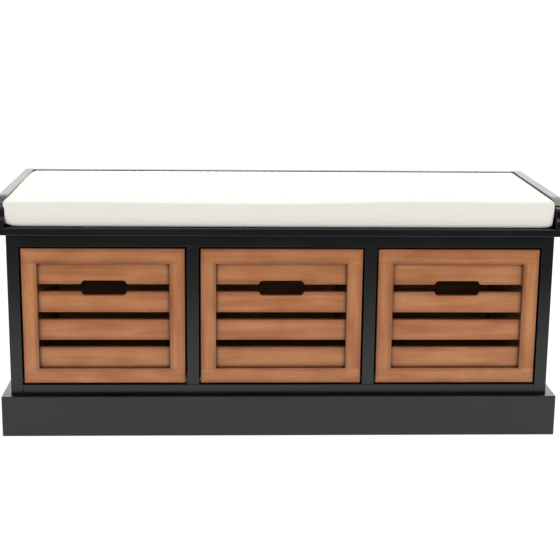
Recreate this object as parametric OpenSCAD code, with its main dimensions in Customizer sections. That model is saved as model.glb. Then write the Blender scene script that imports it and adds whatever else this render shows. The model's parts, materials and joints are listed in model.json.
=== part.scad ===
// Storage bench: a painted carcass with three slatted drawers and a loose seat cushion.
// Millimetres. X runs left to right, Y front to back, Z up. The origin is on the floor,
// in the middle of the bench's width and depth. The drawers face -Y.

/* [Overall] */
// Width over the seat board and the arm rails
bench_w = 1040; // [900:1:1200]
// Depth from the face of the front plinth board to the back edge
bench_d = 400; // [370:1:450]
// Height of the seat board's underside above the floor
seat_under_z = 380; // [340:1:420]
// Height of the arm rails above the seat board
rail_h = 51; // [30:1:70]

/* [Boards] */
// Width of the carcass, without the plinth boards
body_w = 1003; // [860:1:1010]
// Thickness of the side panels and the dividers
panel_t = 22; // [16:1:25]
// Thickness of the floor panel
floor_t = 22; // [18:1:25]
// Height of the floor panel's face that shows above the plinth
floor_show = 18; // [10:1:18]
// Thickness of the seat board
seat_t = 14; // [12:1:22]
// How far the seat board's front edge stands out from the carcass
seat_overhang = 12.5; // [5:0.5:15]
// Rounding of the seat board's upper front edge
seat_top_r = 3; // [1:0.5:6]
// Rounding of the seat board's lower front edge
seat_low_r = 1.5; // [0.5:0.5:6]
// Height of the rail above the drawers
top_rail_h = 22.5; // [15:0.5:30]
// Depth of the rail above the drawers
top_rail_d = 20; // [15:1:30]
// Thickness of the back panel
back_panel_t = 5; // [3:1:6]
// Thickness of the arm rails and the back rail
rail_t = 18; // [14:1:22]

/* [Plinth] */
// Height of the plinth boards
plinth_h = 77; // [50:1:100]
// Thickness of the plinth boards, which is also the width of the ledge they make
plinth_t = 16; // [12:1:20]

/* [Drawers] */
// Gap between a drawer front and its opening, on all four sides
drawer_gap = 3.2; // [2:0.1:6]
// Width of the drawer front's frame members
frame_w = 28.3; // [20:0.1:40]
// Thickness of the drawer front's frame
frame_t = 18; // [16:1:22]
// How far the slats lie behind the face of the frame
slat_setback = 8; // [4:1:8]
// Gap between two slats
slat_gap = 14; // [8:1:20]
// Distance from one gap's centre to the next
slat_pitch = 53; // [45:1:56]
// Height of the middle gap's centre above the drawer front's lower edge
slat_mid_h = 127.3; // [120:0.1:132]
// Width of the hand cut-out
grip_w = 83; // [60:1:110]
// Height of the hand cut-out
grip_h = 28; // [22:1:34]
// Length of the drawer box behind its front
box_d = 350; // [300:1:352]
// Height of the drawer box's sides
box_h = 210; // [120:1:230]
// Thickness of the drawer box's sides and back
box_t = 12; // [9:1:15]
// Thickness of the drawer's base
base_t = 5; // [3:1:6]

/* [Cushion] */
// Thickness of the cushion
cushion_t = 50; // [30:1:60]
// Play between the cushion and each arm rail
cushion_side_play = 3; // [1:0.5:8]
// Distance of the cushion's front face behind the seat board's front edge
cushion_setback = 15; // [5:1:25]
// Radius of the cushion's edges and corners
cushion_r = 14; // [6:1:20]
// Thickness of the cushion's cover
cover_t = 1.5; // [1:0.1:3]

/* [Hidden] */
$fn = 48;
eps = 0.01;
lift = 0.3;                               // play between pieces that slide or lift apart

// Planes of the carcass
face_y = -bench_d / 2 + plinth_t;         // front face of the carcass and of the drawers
back_y = bench_d / 2;                     // back edge of the side panels
seat_top_z = seat_under_z + seat_t;
floor_top_z = plinth_h + floor_show;
floor_under_z = floor_top_z - floor_t;    // the plinth's front board laps the floor panel
rail_under_z = seat_under_z - top_rail_h;
inner_x = body_w / 2 - panel_t;           // inner face of a side panel
back_inset = 4;                           // the back panel lies this deep in the back
back_face_y = back_y - back_inset - back_panel_t;
rebate_w = 8;                             // the back panel's seat in each side panel

// Drawer openings
opening_w = (body_w - 4 * panel_t) / 3;
opening_h = rail_under_z - floor_top_z;
opening_pitch = opening_w + panel_t;
divider_x = opening_pitch / 2;            // middle of a divider

// Drawer front
front_w = opening_w - 2 * drawer_gap;
front_h = opening_h - 2 * drawer_gap;
front_z = floor_top_z + drawer_gap;
slot_w = front_w - 2 * frame_w;           // clear width between the stiles
rebate_in = 6;                            // the frame's rebate for the slats
slat_t = frame_t - slat_setback;
slat_play = 0.5;
slat_z = front_z + slat_mid_h;            // centre of the middle gap
grip_r = 7;

// Drawer box
box_side_play = 7;                        // room beside the box, for the corner glides
box_x = opening_w / 2 - box_side_play;    // outer face of a drawer side
box_z = floor_top_z + 6;                  // lower edge of the drawer sides
base_z = box_z + 8;
groove_d = 5;
box_y = face_y + frame_t;
box_back_y = box_y + box_d;

// Corner glides, at the front corners of each opening
glide_y = box_y + 3;
glide_l = 26;
glide_w = 30;
glide_foot_h = box_z - floor_top_z - lift;
glide_ear_t = box_side_play - 1;
glide_ear_h = 9;
glide_screw_x = 24.5;                     // from the panel's face, clear of the drawer side
screw_r = 1.5;
screw_head_r = 3.4;

// Cushion
cushion_w = bench_w - 2 * rail_t - 2 * cushion_side_play;
cushion_front_y = face_y - seat_overhang + cushion_setback;
cushion_back_y = back_y - rail_t - 1;
cushion_d = cushion_back_y - cushion_front_y;
cushion_z = seat_top_z + lift;

black = "#1d1d1e";
honey = "#b0724c";
pine = "#d8b88c";
ivory = "#e6e0d0";
steel = "#a9abad";
linen = "#efece2";

DRAWERS = ["drawer_left", "drawer_middle", "drawer_right"];
DRAWER_PARTS = ["frame_top", "frame_bottom", "stile_left", "stile_right", "slat_1", "slat_2",
    "slat_3", "slat_4", "side_left", "side_right", "back", "base", "rear_glides"];
CARCASS = ["side_panel_left", "side_panel_right", "divider_left", "divider_right",
    "floor_panel", "top_rail", "back_panel", "back_panel_screws", "seat_board",
    "arm_rail_left", "arm_rail_right", "back_rail",
    "plinth_front", "plinth_left", "plinth_right", "plinth_back",
    "corner_glides", "glide_screws", "drawer_stops"];
CUSHION = ["cushion_cover", "cushion_foam"];

// ---- helpers ----

// A box from one corner to the other
module block(low, high) {
    translate(low) cube(high - low);
}

// Points of an arc in the plane, from angle a0 to angle a1
function arc(centre, r, a0, a1, steps = 8) =
    [for (i = [0:steps]) let (a = a0 + (a1 - a0) * i / steps) centre + r * [cos(a), sin(a)]];

// A rectangle with round corners, centred, with true arcs
module round_rect(w, h, r) {
    square([w - 2 * r, h], center = true);
    square([w, h - 2 * r], center = true);
    for (x = [-1, 1], y = [-1, 1]) translate([x * (w / 2 - r), y * (h / 2 - r)]) circle(r);
}

// A pan-head screw that points along +Z, with its head below z = 0
module pan_screw(length) {
    cylinder(r = screw_r, h = length);
    translate([0, 0, -1.8]) cylinder(r1 = screw_head_r - 0.8, r2 = screw_head_r, h = 1.8);
}

// ---- carcass ----

// side = -1 for the left panel, 1 for the right
module side_panel(side) {
    color(black) difference() {
        block([side * (inner_x + panel_t / 2) - panel_t / 2, face_y, 0],
            [side * (inner_x + panel_t / 2) + panel_t / 2, back_y, seat_under_z]);
        block([side * (inner_x + rebate_w / 2) - rebate_w / 2, back_face_y, -eps],
            [side * (inner_x + rebate_w / 2) + rebate_w / 2, back_y + eps, seat_under_z + eps]);
    }
}

// A divider stands on the floor panel and is notched around the top rail
module divider(side) {
    x = side * divider_x;
    color(black) difference() {
        block([x - panel_t / 2, face_y, floor_top_z], [x + panel_t / 2, back_face_y, seat_under_z]);
        block([x - panel_t, face_y - 1, rail_under_z],
            [x + panel_t, face_y + top_rail_d, seat_under_z + 1]);
    }
}

module floor_panel() {
    color(black) block([-inner_x, face_y, floor_under_z], [inner_x, back_face_y, floor_top_z]);
}

module top_rail() {
    color(black) block([-inner_x, face_y, rail_under_z],
        [inner_x, face_y + top_rail_d, seat_under_z]);
}

module back_panel() {
    color(pine) block([-inner_x - rebate_w, back_face_y, floor_under_z],
        [inner_x + rebate_w, back_face_y + back_panel_t, seat_under_z]);
}

// Screws up both side panels, both dividers and along the floor panel
module back_panel_screws() {
    edge_x = inner_x + rebate_w / 2;
    post_z = [for (i = [0:2]) plinth_h + 40 + i * (seat_under_z - plinth_h - 80) / 2];
    module screw_at(x, z) {
        translate([x, back_face_y + back_panel_t, z]) rotate([90, 0, 0]) pan_screw(18);
    }
    color(steel) {
        for (x = [-edge_x, -divider_x, divider_x, edge_x], z = post_z) screw_at(x, z);
        for (i = [-1:1]) screw_at(i * opening_pitch, floor_under_z + floor_t / 2);
    }
}

// The front edge is flat, with its two arrises rounded
module seat_board() {
    front = face_y - seat_overhang;
    color(black) translate([-bench_w / 2, 0, 0]) rotate([90, 0, 90]) linear_extrude(bench_w) {
        translate([front + seat_top_r, seat_under_z]) square([back_y - front - seat_top_r, seat_t]);
        translate([front, seat_under_z + seat_low_r])
            square([seat_top_r, seat_t - seat_top_r - seat_low_r]);
        translate([front + seat_low_r, seat_under_z]) square([seat_top_r - seat_low_r, seat_low_r]);
        translate([front + seat_top_r, seat_top_z - seat_top_r]) circle(seat_top_r);
        translate([front + seat_low_r, seat_under_z + seat_low_r]) circle(seat_low_r);
    }
}

// Side view of an arm rail, as points [y, z]: a long fall, a bead, and a foot with a small step
function arm_profile() =
    let (top = seat_top_z + rail_h, fall_r = 90, fall_a = 28.5, y0 = face_y + 55,
        fall_y = y0 - fall_r * sin(fall_a), fall_z = top - fall_r * (1 - cos(fall_a)),
        bead_r = 12, foot_r = 7, foot_y = face_y - 10)
    concat([[back_y, seat_top_z], [back_y, top]],
        arc([y0, top - fall_r], fall_r, 90, 90 + fall_a, 10),
        arc([fall_y, fall_z - bead_r - 2], bead_r, 90, 180, 8),
        [[fall_y - bead_r, seat_top_z + 19]],
        arc([foot_y + foot_r, seat_top_z + 10], foot_r, 90, 180, 6),
        [[foot_y, seat_top_z]]);

module arm_rail(side) {
    x = side * (bench_w / 2 - rail_t / 2) - rail_t / 2;
    color(black) translate([x, 0, 0]) rotate([90, 0, 90])
        linear_extrude(rail_t) polygon(arm_profile());
}

module back_rail() {
    color(black) block([-bench_w / 2 + rail_t, back_y - rail_t, seat_top_z],
        [bench_w / 2 - rail_t, back_y, seat_top_z + rail_h]);
}

module plinth_front() {
    w = body_w / 2 + plinth_t;
    color(black) block([-w, face_y - plinth_t, 0], [w, face_y, plinth_h]);
}

module plinth_side(side) {
    x = side * (body_w + plinth_t) / 2;
    color(black) block([x - plinth_t / 2, face_y, 0], [x + plinth_t / 2, back_y, plinth_h]);
}

module plinth_back() {
    color(black) block([-inner_x, back_face_y - plinth_t, 0], [inner_x, back_face_y, floor_under_z]);
}

// ---- what the drawers run on ----

// Calls its children once for each opening's left and right edge, mirrored to suit
module each_corner() {
    for (i = [-1:1], side = [0, 1])
        translate([i * opening_pitch, 0, 0]) mirror([side, 0, 0])
            translate([opening_w / 2, 0, 0]) children();
}

// An angle of hard plastic: the foot carries the drawer side, the ear keeps it central
module corner_glides() {
    color(ivory) each_corner() {
        block([-glide_w, glide_y, floor_top_z], [0, glide_y + glide_l, floor_top_z + glide_foot_h]);
        block([-glide_ear_t, glide_y, floor_top_z], [0, glide_y + glide_l, floor_top_z + glide_ear_h]);
    }
}

// Two screws down through the foot of each glide
module glide_screws() {
    color(steel) each_corner() for (y = [7, glide_l - 7])
        translate([-glide_screw_x, glide_y + y, floor_top_z + glide_foot_h])
            rotate([180, 0, 0]) pan_screw(14);
}

// Blocks behind the drawer sides, so that the closed drawers lie flush
module drawer_stops() {
    play = 0.5;
    color(pine) each_corner()
        block([-glide_w, box_back_y + play, floor_top_z], [0, back_face_y, floor_top_z + 30]);
}

// ---- drawers: every piece is drawn about the middle of its opening ----

// z = -1 for the lower rail, 1 for the upper; both run the full width of the front
module frame_rail(z) {
    low = z < 0 ? front_z : front_z + front_h - frame_w;
    inner = z < 0 ? low + frame_w : low;
    color(honey) difference() {
        block([-front_w / 2, face_y, low], [front_w / 2, face_y + frame_t, low + frame_w]);
        block([-slot_w / 2 - rebate_in, face_y + slat_setback, inner - rebate_in],
            [slot_w / 2 + rebate_in, face_y + frame_t + 1, inner + rebate_in]);
    }
}

// A stile stands between the two rails
module stile(side) {
    x = side * (slot_w + frame_w) / 2;
    color(honey) difference() {
        block([x - frame_w / 2, face_y, front_z + frame_w],
            [x + frame_w / 2, face_y + frame_t, front_z + front_h - frame_w]);
        block([side * slot_w / 2 - rebate_in, face_y + slat_setback, front_z],
            [side * slot_w / 2 + rebate_in, face_y + frame_t + 1, front_z + front_h]);
    }
}

// Slats are counted from the top. The first two share the hand cut-out between them,
// and the first and last reach into the rails' rebates.
module slat(n) {
    half_w = slot_w / 2 + rebate_in - slat_play;
    gap_above = slat_z + (2.5 - n + 0.5) * slat_pitch;
    low = n == 4 ? front_z + frame_w - rebate_in + slat_play
        : gap_above - slat_pitch + slat_gap / 2;
    high = n == 1 ? front_z + front_h - frame_w + rebate_in - slat_play
        : gap_above - slat_gap / 2;
    color(honey) difference() {
        block([-half_w, face_y + slat_setback, low], [half_w, face_y + frame_t, high]);
        if (n <= 2)
            translate([0, face_y + frame_t + 1, slat_z + slat_pitch]) rotate([90, 0, 0])
                linear_extrude(slat_t + 2) round_rect(grip_w, grip_h, grip_r);
    }
}

module box_side(side) {
    x = side * (box_x - box_t / 2);
    color(pine) difference() {
        block([x - box_t / 2, box_y, box_z], [x + box_t / 2, box_back_y, box_z + box_h]);
        block([side * (box_x - box_t) - groove_d, box_y - 1, base_z],
            [side * (box_x - box_t) + groove_d, box_back_y + 1, base_z + base_t]);
    }
}

module box_back() {
    color(pine) block([-box_x + box_t, box_back_y - box_t, base_z + base_t],
        [box_x - box_t, box_back_y, box_z + box_h]);
}

module box_base() {
    w = box_x - box_t + groove_d;
    color(pine) block([-w, box_y, base_z], [w, box_back_y, base_z + base_t]);
}

// Pads under the back ends of the drawer sides
module rear_glides() {
    length = 30;
    color(ivory) for (side = [-1, 1])
        translate([side * (box_x - box_t / 2), 0, 0])
            block([-box_t / 2, box_back_y - length, floor_top_z + lift], [box_t / 2, box_back_y, box_z]);
}

module drawer_part(name) {
    if (name == "frame_top") frame_rail(1);
    if (name == "frame_bottom") frame_rail(-1);
    if (name == "stile_left") stile(-1);
    if (name == "stile_right") stile(1);
    for (n = [1:4]) if (name == str("slat_", n)) slat(n);
    if (name == "side_left") box_side(-1);
    if (name == "side_right") box_side(1);
    if (name == "back") box_back();
    if (name == "base") box_base();
    if (name == "rear_glides") rear_glides();
}

// ---- cushion ----

// A box with round edges and corners, shrunk by inset on every side
module pillow(inset) {
    r = cushion_r - inset;
    hull() for (x = [-1, 1], y = [0, 1], z = [0, 1])
        translate([x * (cushion_w / 2 - cushion_r),
                cushion_front_y + cushion_r + y * (cushion_d - 2 * cushion_r),
                cushion_z + cushion_r + z * (cushion_t + seat_top_z - cushion_z - 2 * cushion_r)])
            sphere(r, $fn = 32);
}

module cushion_cover() {
    color(linen) difference() {
        pillow(0);
        pillow(cover_t);
    }
}

module cushion_foam() {
    color(linen) pillow(cover_t);
}

// ---- the pieces ----

side_panel(-1);  // side_panel_left
side_panel(1);  // side_panel_right
divider(-1);  // divider_left
divider(1);  // divider_right
floor_panel();
top_rail();
back_panel();
back_panel_screws();
seat_board();
arm_rail(-1);  // arm_rail_left
arm_rail(1);  // arm_rail_right
back_rail();
plinth_front();
plinth_side(-1);  // plinth_left
plinth_side(1);  // plinth_right
plinth_back();
corner_glides();
glide_screws();
drawer_stops();
for (d = [0:2], p = DRAWER_PARTS)
    translate([(d - 1) * opening_pitch, 0, 0]) drawer_part(p);
cushion_cover();
cushion_foam();
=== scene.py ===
# %% [markdown]
# # A storage bench
#
# A low hallway bench: a black painted carcass on a plinth, three drawers with slatted
# fronts in stained wood, and a loose cotton cushion between low arm rails. The sizes, the
# joints and the plain solids come from a fixed frame. This script gives every piece its
# finish, its eased edges, its grain and its cloth, and changes no size.

# %% Load the fixed frame
import json
import math
import random

import bmesh
import bpy
import numpy as np
from mathutils import Matrix, Vector, noise
from mathutils.bvhtree import BVHTree


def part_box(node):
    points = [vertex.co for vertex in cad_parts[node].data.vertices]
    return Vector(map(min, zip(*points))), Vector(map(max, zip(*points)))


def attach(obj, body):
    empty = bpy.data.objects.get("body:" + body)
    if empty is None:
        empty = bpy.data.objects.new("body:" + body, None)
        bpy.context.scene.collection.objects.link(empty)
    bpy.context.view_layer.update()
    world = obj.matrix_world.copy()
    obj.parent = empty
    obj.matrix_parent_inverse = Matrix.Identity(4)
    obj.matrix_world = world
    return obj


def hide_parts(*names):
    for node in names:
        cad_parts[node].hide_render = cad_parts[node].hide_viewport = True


MM = 0.001
WELD = 0.01 * MM  # points closer than this are one point
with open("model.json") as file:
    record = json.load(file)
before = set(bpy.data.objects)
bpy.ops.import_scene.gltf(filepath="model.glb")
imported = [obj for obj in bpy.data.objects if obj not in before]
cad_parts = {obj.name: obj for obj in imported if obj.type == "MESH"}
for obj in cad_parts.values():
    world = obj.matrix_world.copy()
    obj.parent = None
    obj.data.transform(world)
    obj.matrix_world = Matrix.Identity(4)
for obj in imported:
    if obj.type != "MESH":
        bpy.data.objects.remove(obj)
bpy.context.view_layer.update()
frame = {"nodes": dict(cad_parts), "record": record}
NODES = frame["nodes"]
BODY_OF = {node: body for body, members in frame["record"]["behaviour"]["bodies"].items()
           for node in members}
DRAWERS = ("drawer_left", "drawer_middle", "drawer_right")

# %% [markdown]
# ## Camera
#
# Furniture is shown from well back with a long lens, so that the bench's ends hardly
# converge, and from just high enough to show the seat. The view can be set with three
# angles in radians: yaw about the vertical, pitch down from level, and a small roll. A matrix
# made from the three resulting axes places the camera without any constraint or helper object.

# %% Place the camera
LENS_MM, SENSOR_MM = 83.8, 36.0
CAMERA_AT = Vector((-0.1010, -2.5173, 0.8369))
YAW, PITCH, ROLL = 0.04183, 0.22758, -0.01115


def camera_axes(yaw, pitch, roll):
    """The camera's right, down and forward directions."""
    forward = Vector((math.sin(yaw) * math.cos(pitch), math.cos(yaw) * math.cos(pitch),
                      -math.sin(pitch)))
    level = Vector((math.cos(yaw), -math.sin(yaw), 0))
    plumb = forward.cross(level)
    right = math.cos(roll) * level + math.sin(roll) * plumb
    down = math.cos(roll) * plumb - math.sin(roll) * level
    return right, down, forward


def put(name, data):
    """A new object in the scene for a camera, lamp, mesh or curve."""
    thing = bpy.data.objects.new(name, data)
    bpy.context.collection.objects.link(thing)
    return thing


right, down, forward = camera_axes(YAW, PITCH, ROLL)
camera = put("camera", bpy.data.cameras.new("camera"))
camera.data.lens = LENS_MM
camera.data.sensor_width = SENSOR_MM
camera.matrix_world = Matrix.Translation(CAMERA_AT) @ Matrix(
    (right, -down, -forward)).transposed().to_4x4()
bpy.context.scene.camera = camera
print(f"camera {CAMERA_AT.length:.2f} m from the origin")

# %% [markdown]
# ## Nodes and colours
#
# Materials and geometry trees are both made of nodes. One helper adds a node, sets it and
# wires it, so that each material below reads as a list of what it is made of. Colours are
# written the way a paint chart gives them, as sRGB hex codes, and turned to linear light.


# %% Helpers for every node tree
def feed(tree, node, inputs):
    """Feeds sockets, by name or number: a value, an output, or a node for its first output."""
    for name, value in inputs.items():
        if isinstance(value, bpy.types.Node):
            value = next(output for output in value.outputs if output.enabled)
        if isinstance(value, bpy.types.NodeSocket):
            tree.links.new(value, node.inputs[name])
        else:
            node.inputs[name].default_value = value


def add(tree, kind, inputs=None, **settings):
    """Adds a node to a tree, sets it and feeds it."""
    node = tree.nodes.new(kind)
    for name, value in settings.items():
        setattr(node, name, value)
    feed(tree, node, inputs or {})
    return node


def linear(hex_code):
    """An sRGB hex code as linear red, green, blue and alpha."""
    srgb = [int(hex_code[i:i + 2], 16) / 255 for i in (1, 3, 5)]
    return [c / 12.92 if c <= 0.04045 else ((c + 0.055) / 1.055) ** 2.4 for c in srgb] + [1.0]


def new_material(name):
    """A new material, its tree and its Principled shader."""
    material = bpy.data.materials.new(name)
    material.use_nodes = True
    tree = material.node_tree
    return material, tree, tree.nodes["Principled BSDF"]


def ramp(node, stops):
    """Gives a colour ramp its stops, as (place, hex code)."""
    elements = node.color_ramp.elements
    while len(elements) < len(stops):
        elements.new(0.5)
    for element, (place, colour) in zip(elements, stops):
        element.position = place
        element.color = linear(colour)


# %% [markdown]
# ## Light and floor
#
# The bench stands on a backlit white sweep, which takes its shadow away: the floor itself
# glows a little. An even white sky gives the soft light, with an overhead softbox. Two smaller
# ones hang left and right and draw the bright lines along the rounded fronts of the arm rails.
# A wide one far behind is what the black tops mirror at a glancing angle, and a strip above it
# is what the falling fronts of the arm rails mirror. Black flags stand in front, one on the
# floor and one upright. Studios use them to keep glossy dark fronts from going milky. Here
# they show only in reflections, so they take no light from the scene.

# %% Sky and softboxes
scene = bpy.context.scene
scene.view_settings.view_transform = "Standard"
world = bpy.data.worlds.new("white_room")
world.use_nodes = True
feed(world.node_tree, world.node_tree.nodes["Background"],
     {"Color": linear("#ffffff"), "Strength": 0.82})
scene.world = world


def softbox(name, place, aim, size, power, mirrored):
    """A rectangular area light at a place, facing a point, and whether gloss mirrors it."""
    light = bpy.data.lights.new(name, "AREA")
    light.shape = "RECTANGLE"
    light.size, light.size_y = size
    light.energy = power
    lamp = put(name, light)
    lamp.location = place
    lamp.rotation_euler = (Vector(aim) - Vector(place)).to_track_quat("-Z", "Y").to_euler()
    lamp.visible_camera = False
    lamp.visible_glossy = mirrored
    return lamp


softbox("overhead", (0, 0.3, 2.6), (0, 0.1, 0), (2.4, 1.4), 10, mirrored=False)
softbox("upper_left", (-1.25, 0.6, 2.2), (-0.3, 0, 0.4), (0.9, 0.7), 8, mirrored=True)
softbox("upper_right", (0.95, 0.6, 2.2), (0.3, 0, 0.4), (0.9, 0.7), 8, mirrored=True)
softbox("behind", (0, 5.0, 1.4), (0, 0, 0.5), (9.0, 2.4), 85, mirrored=True)
# The strip is for gloss alone, and lights nothing
strip = softbox("high_behind", (1.4, 3.4, 3.3), (0.2, 0, 0.4), (5.0, 1.8), 45, mirrored=True)
strip.visible_diffuse = False
print(len(bpy.data.lights), "softboxes")


# %% Floor and flags
def stage_plane(name, corners, colour, glow=0.0):
    """A flat, matt, four-cornered sheet that belongs to the studio and not to the bench."""
    mesh = bpy.data.meshes.new(name)
    mesh.from_pydata(corners, [], [(0, 1, 2, 3)])
    plane = put(name, mesh)
    material, tree, shader = new_material(name + "_sheet")
    feed(tree, shader, {"Base Color": linear(colour), "Roughness": 0.9,
                        "Specular IOR Level": 0.0, "Emission Color": linear("#fbfbff"),
                        "Emission Strength": glow})
    mesh.materials.append(material)
    return plane


stage_plane("floor", [(-40, -40, 0), (40, -40, 0), (40, 60, 0), (-40, 60, 0)], "#7a7a7a",
            glow=0.96)
flags = [stage_plane("floor_flag", [(-6, -7, 0.004), (6, -7, 0.004), (6, -1.05, 0.004),
                                    (-6, -1.05, 0.004)], "#080808"),
         stage_plane("upright_flag", [(-6, -7, 0), (6, -7, 0), (6, -6, 6), (-6, -6, 6)],
                     "#080808")]
for flag in flags:
    for ray in ("visible_camera", "visible_diffuse", "visible_shadow", "visible_transmission"):
        setattr(flag, ray, False)
print("floor and", len(flags), "flags")

# %% [markdown]
# ## Black satin paint
#
# The carcass is sprayed MDF: a near-black lacquer with a satin sheen, rolled smooth, with the
# faint orange peel that spraying leaves. The eye reads it by its reflections: dark where the
# room is dark, grey where a top mirrors the wall behind. Roughness varies a little so that the
# sheen isn't perfectly even, and the eased edges are rubbed a touch thinner.

# %% Black satin paint
PEEL_MM = 2.4
CLOUDS_PER_M, RUBS_PER_M = 9.0, 55.0  # patches of about 110 mm and 18 mm
black_paint, tree, shader = new_material("black_satin_paint")
place = add(tree, "ShaderNodeTexCoord").outputs["Object"]
clouds = add(tree, "ShaderNodeTexNoise", {"Vector": place, "Scale": CLOUDS_PER_M, "Detail": 3.0})
tone = add(tree, "ShaderNodeValToRGB", {"Fac": clouds})
ramp(tone, [(0.3, "#151516"), (0.7, "#1a1a1b")])
edge = add(tree, "ShaderNodeAttribute", attribute_name="edge").outputs["Fac"]
rub = add(tree, "ShaderNodeTexNoise", {"Vector": place, "Scale": RUBS_PER_M, "Detail": 4.0})
rubbed = add(tree, "ShaderNodeMapRange", {"Value": rub, "From Min": 0.5, "From Max": 0.72,
                                          "To Max": 0.5})
wear = add(tree, "ShaderNodeMath", {0: rubbed, 1: edge}, operation="MULTIPLY")
colour = add(tree, "ShaderNodeMix", {"Factor": wear, "A": tone, "B": linear("#34332f")},
             data_type="RGBA")
sheen = add(tree, "ShaderNodeMapRange", {"Value": clouds, "To Min": 0.25, "To Max": 0.32})
peel = add(tree, "ShaderNodeTexNoise", {"Vector": place, "Scale": 1 / (PEEL_MM * MM),
                                        "Detail": 1.5})
skin = add(tree, "ShaderNodeBump", {"Height": peel, "Strength": 0.12, "Distance": 0.05 * MM})
feed(tree, shader, {"Base Color": colour, "Roughness": sheen, "Normal": skin})
print("made", black_paint.name)

# %% [markdown]
# ## Wood
#
# Every board has its own piece of tree. Each board's mesh therefore carries an attribute,
# grain, which is its place measured along, across and through the board and shifted by a
# random amount. A noise stretched along the first of these makes growth bands, a finer one
# makes fibres, and a short, sharp one makes pores. A wiping stain soaks in unevenly. Painted
# shade darkens the inside corners, which Ambient Occlusion finds. And the colour is darker
# towards the edges of each panel and of the hole in it. For that, a board also carries its
# place within its panel, the panel's half size and the half size of the hole in it. One
# function builds stained, plain and veneer wood from the same patterns, because they differ
# only in colour, depth and finish.

# %% Wood from a board's own grain
# Each pattern's length along the grain and width across it in mm, and its detail
GRAIN = {"band": (240, 13.0, 4), "fibre": (45, 1.6, 2), "pore": (8, 0.8, 0),
         "patch": (70, 32, 3)}
# How far the painted corner shade reaches, and how far, how much and to what colour the stained
# fronts darken towards a panel's edges
CORNER_MM, RIM_MM, RIM_DARK, RIM_COLOUR = 9.0, 10.0, 0.42, "#6e3a1e"


def edge_distance(tree):
    """How far a place on a panel is from the nearest edge of the panel or of its hole."""
    spot, reach, hole = (add(tree, "ShaderNodeAttribute", attribute_name=name).outputs["Vector"]
                         for name in ("spot", "reach", "hole"))
    size = add(tree, "ShaderNodeVectorMath", {0: spot}, operation="ABSOLUTE")
    room = add(tree, "ShaderNodeVectorMath", {0: reach, 1: size}, operation="SUBTRACT")
    past = add(tree, "ShaderNodeVectorMath", {0: size, 1: hole}, operation="SUBTRACT")
    past = add(tree, "ShaderNodeVectorMath", {0: past, 1: (0, 0, 0)}, operation="MAXIMUM")
    room = add(tree, "ShaderNodeSeparateXYZ", {"Vector": room}).outputs
    found = {"X": room["X"], "Y": room["Y"], "Z": room["Z"],
             "hole": add(tree, "ShaderNodeVectorMath", {0: past}, operation="LENGTH")}
    # One of the three is nil on any face, so the middle one reaches to the nearest edge
    for name, operation, a, b in (
            ("lesser", "MINIMUM", "X", "Z"), ("greater", "MAXIMUM", "X", "Z"),
            ("inner", "MINIMUM", "greater", "Y"), ("middle", "MAXIMUM", "lesser", "inner"),
            ("nearest", "MINIMUM", "middle", "hole")):
        found[name] = add(tree, "ShaderNodeMath", {0: found[a], 1: found[b]},
                          operation=operation)
    return found["nearest"]


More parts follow.
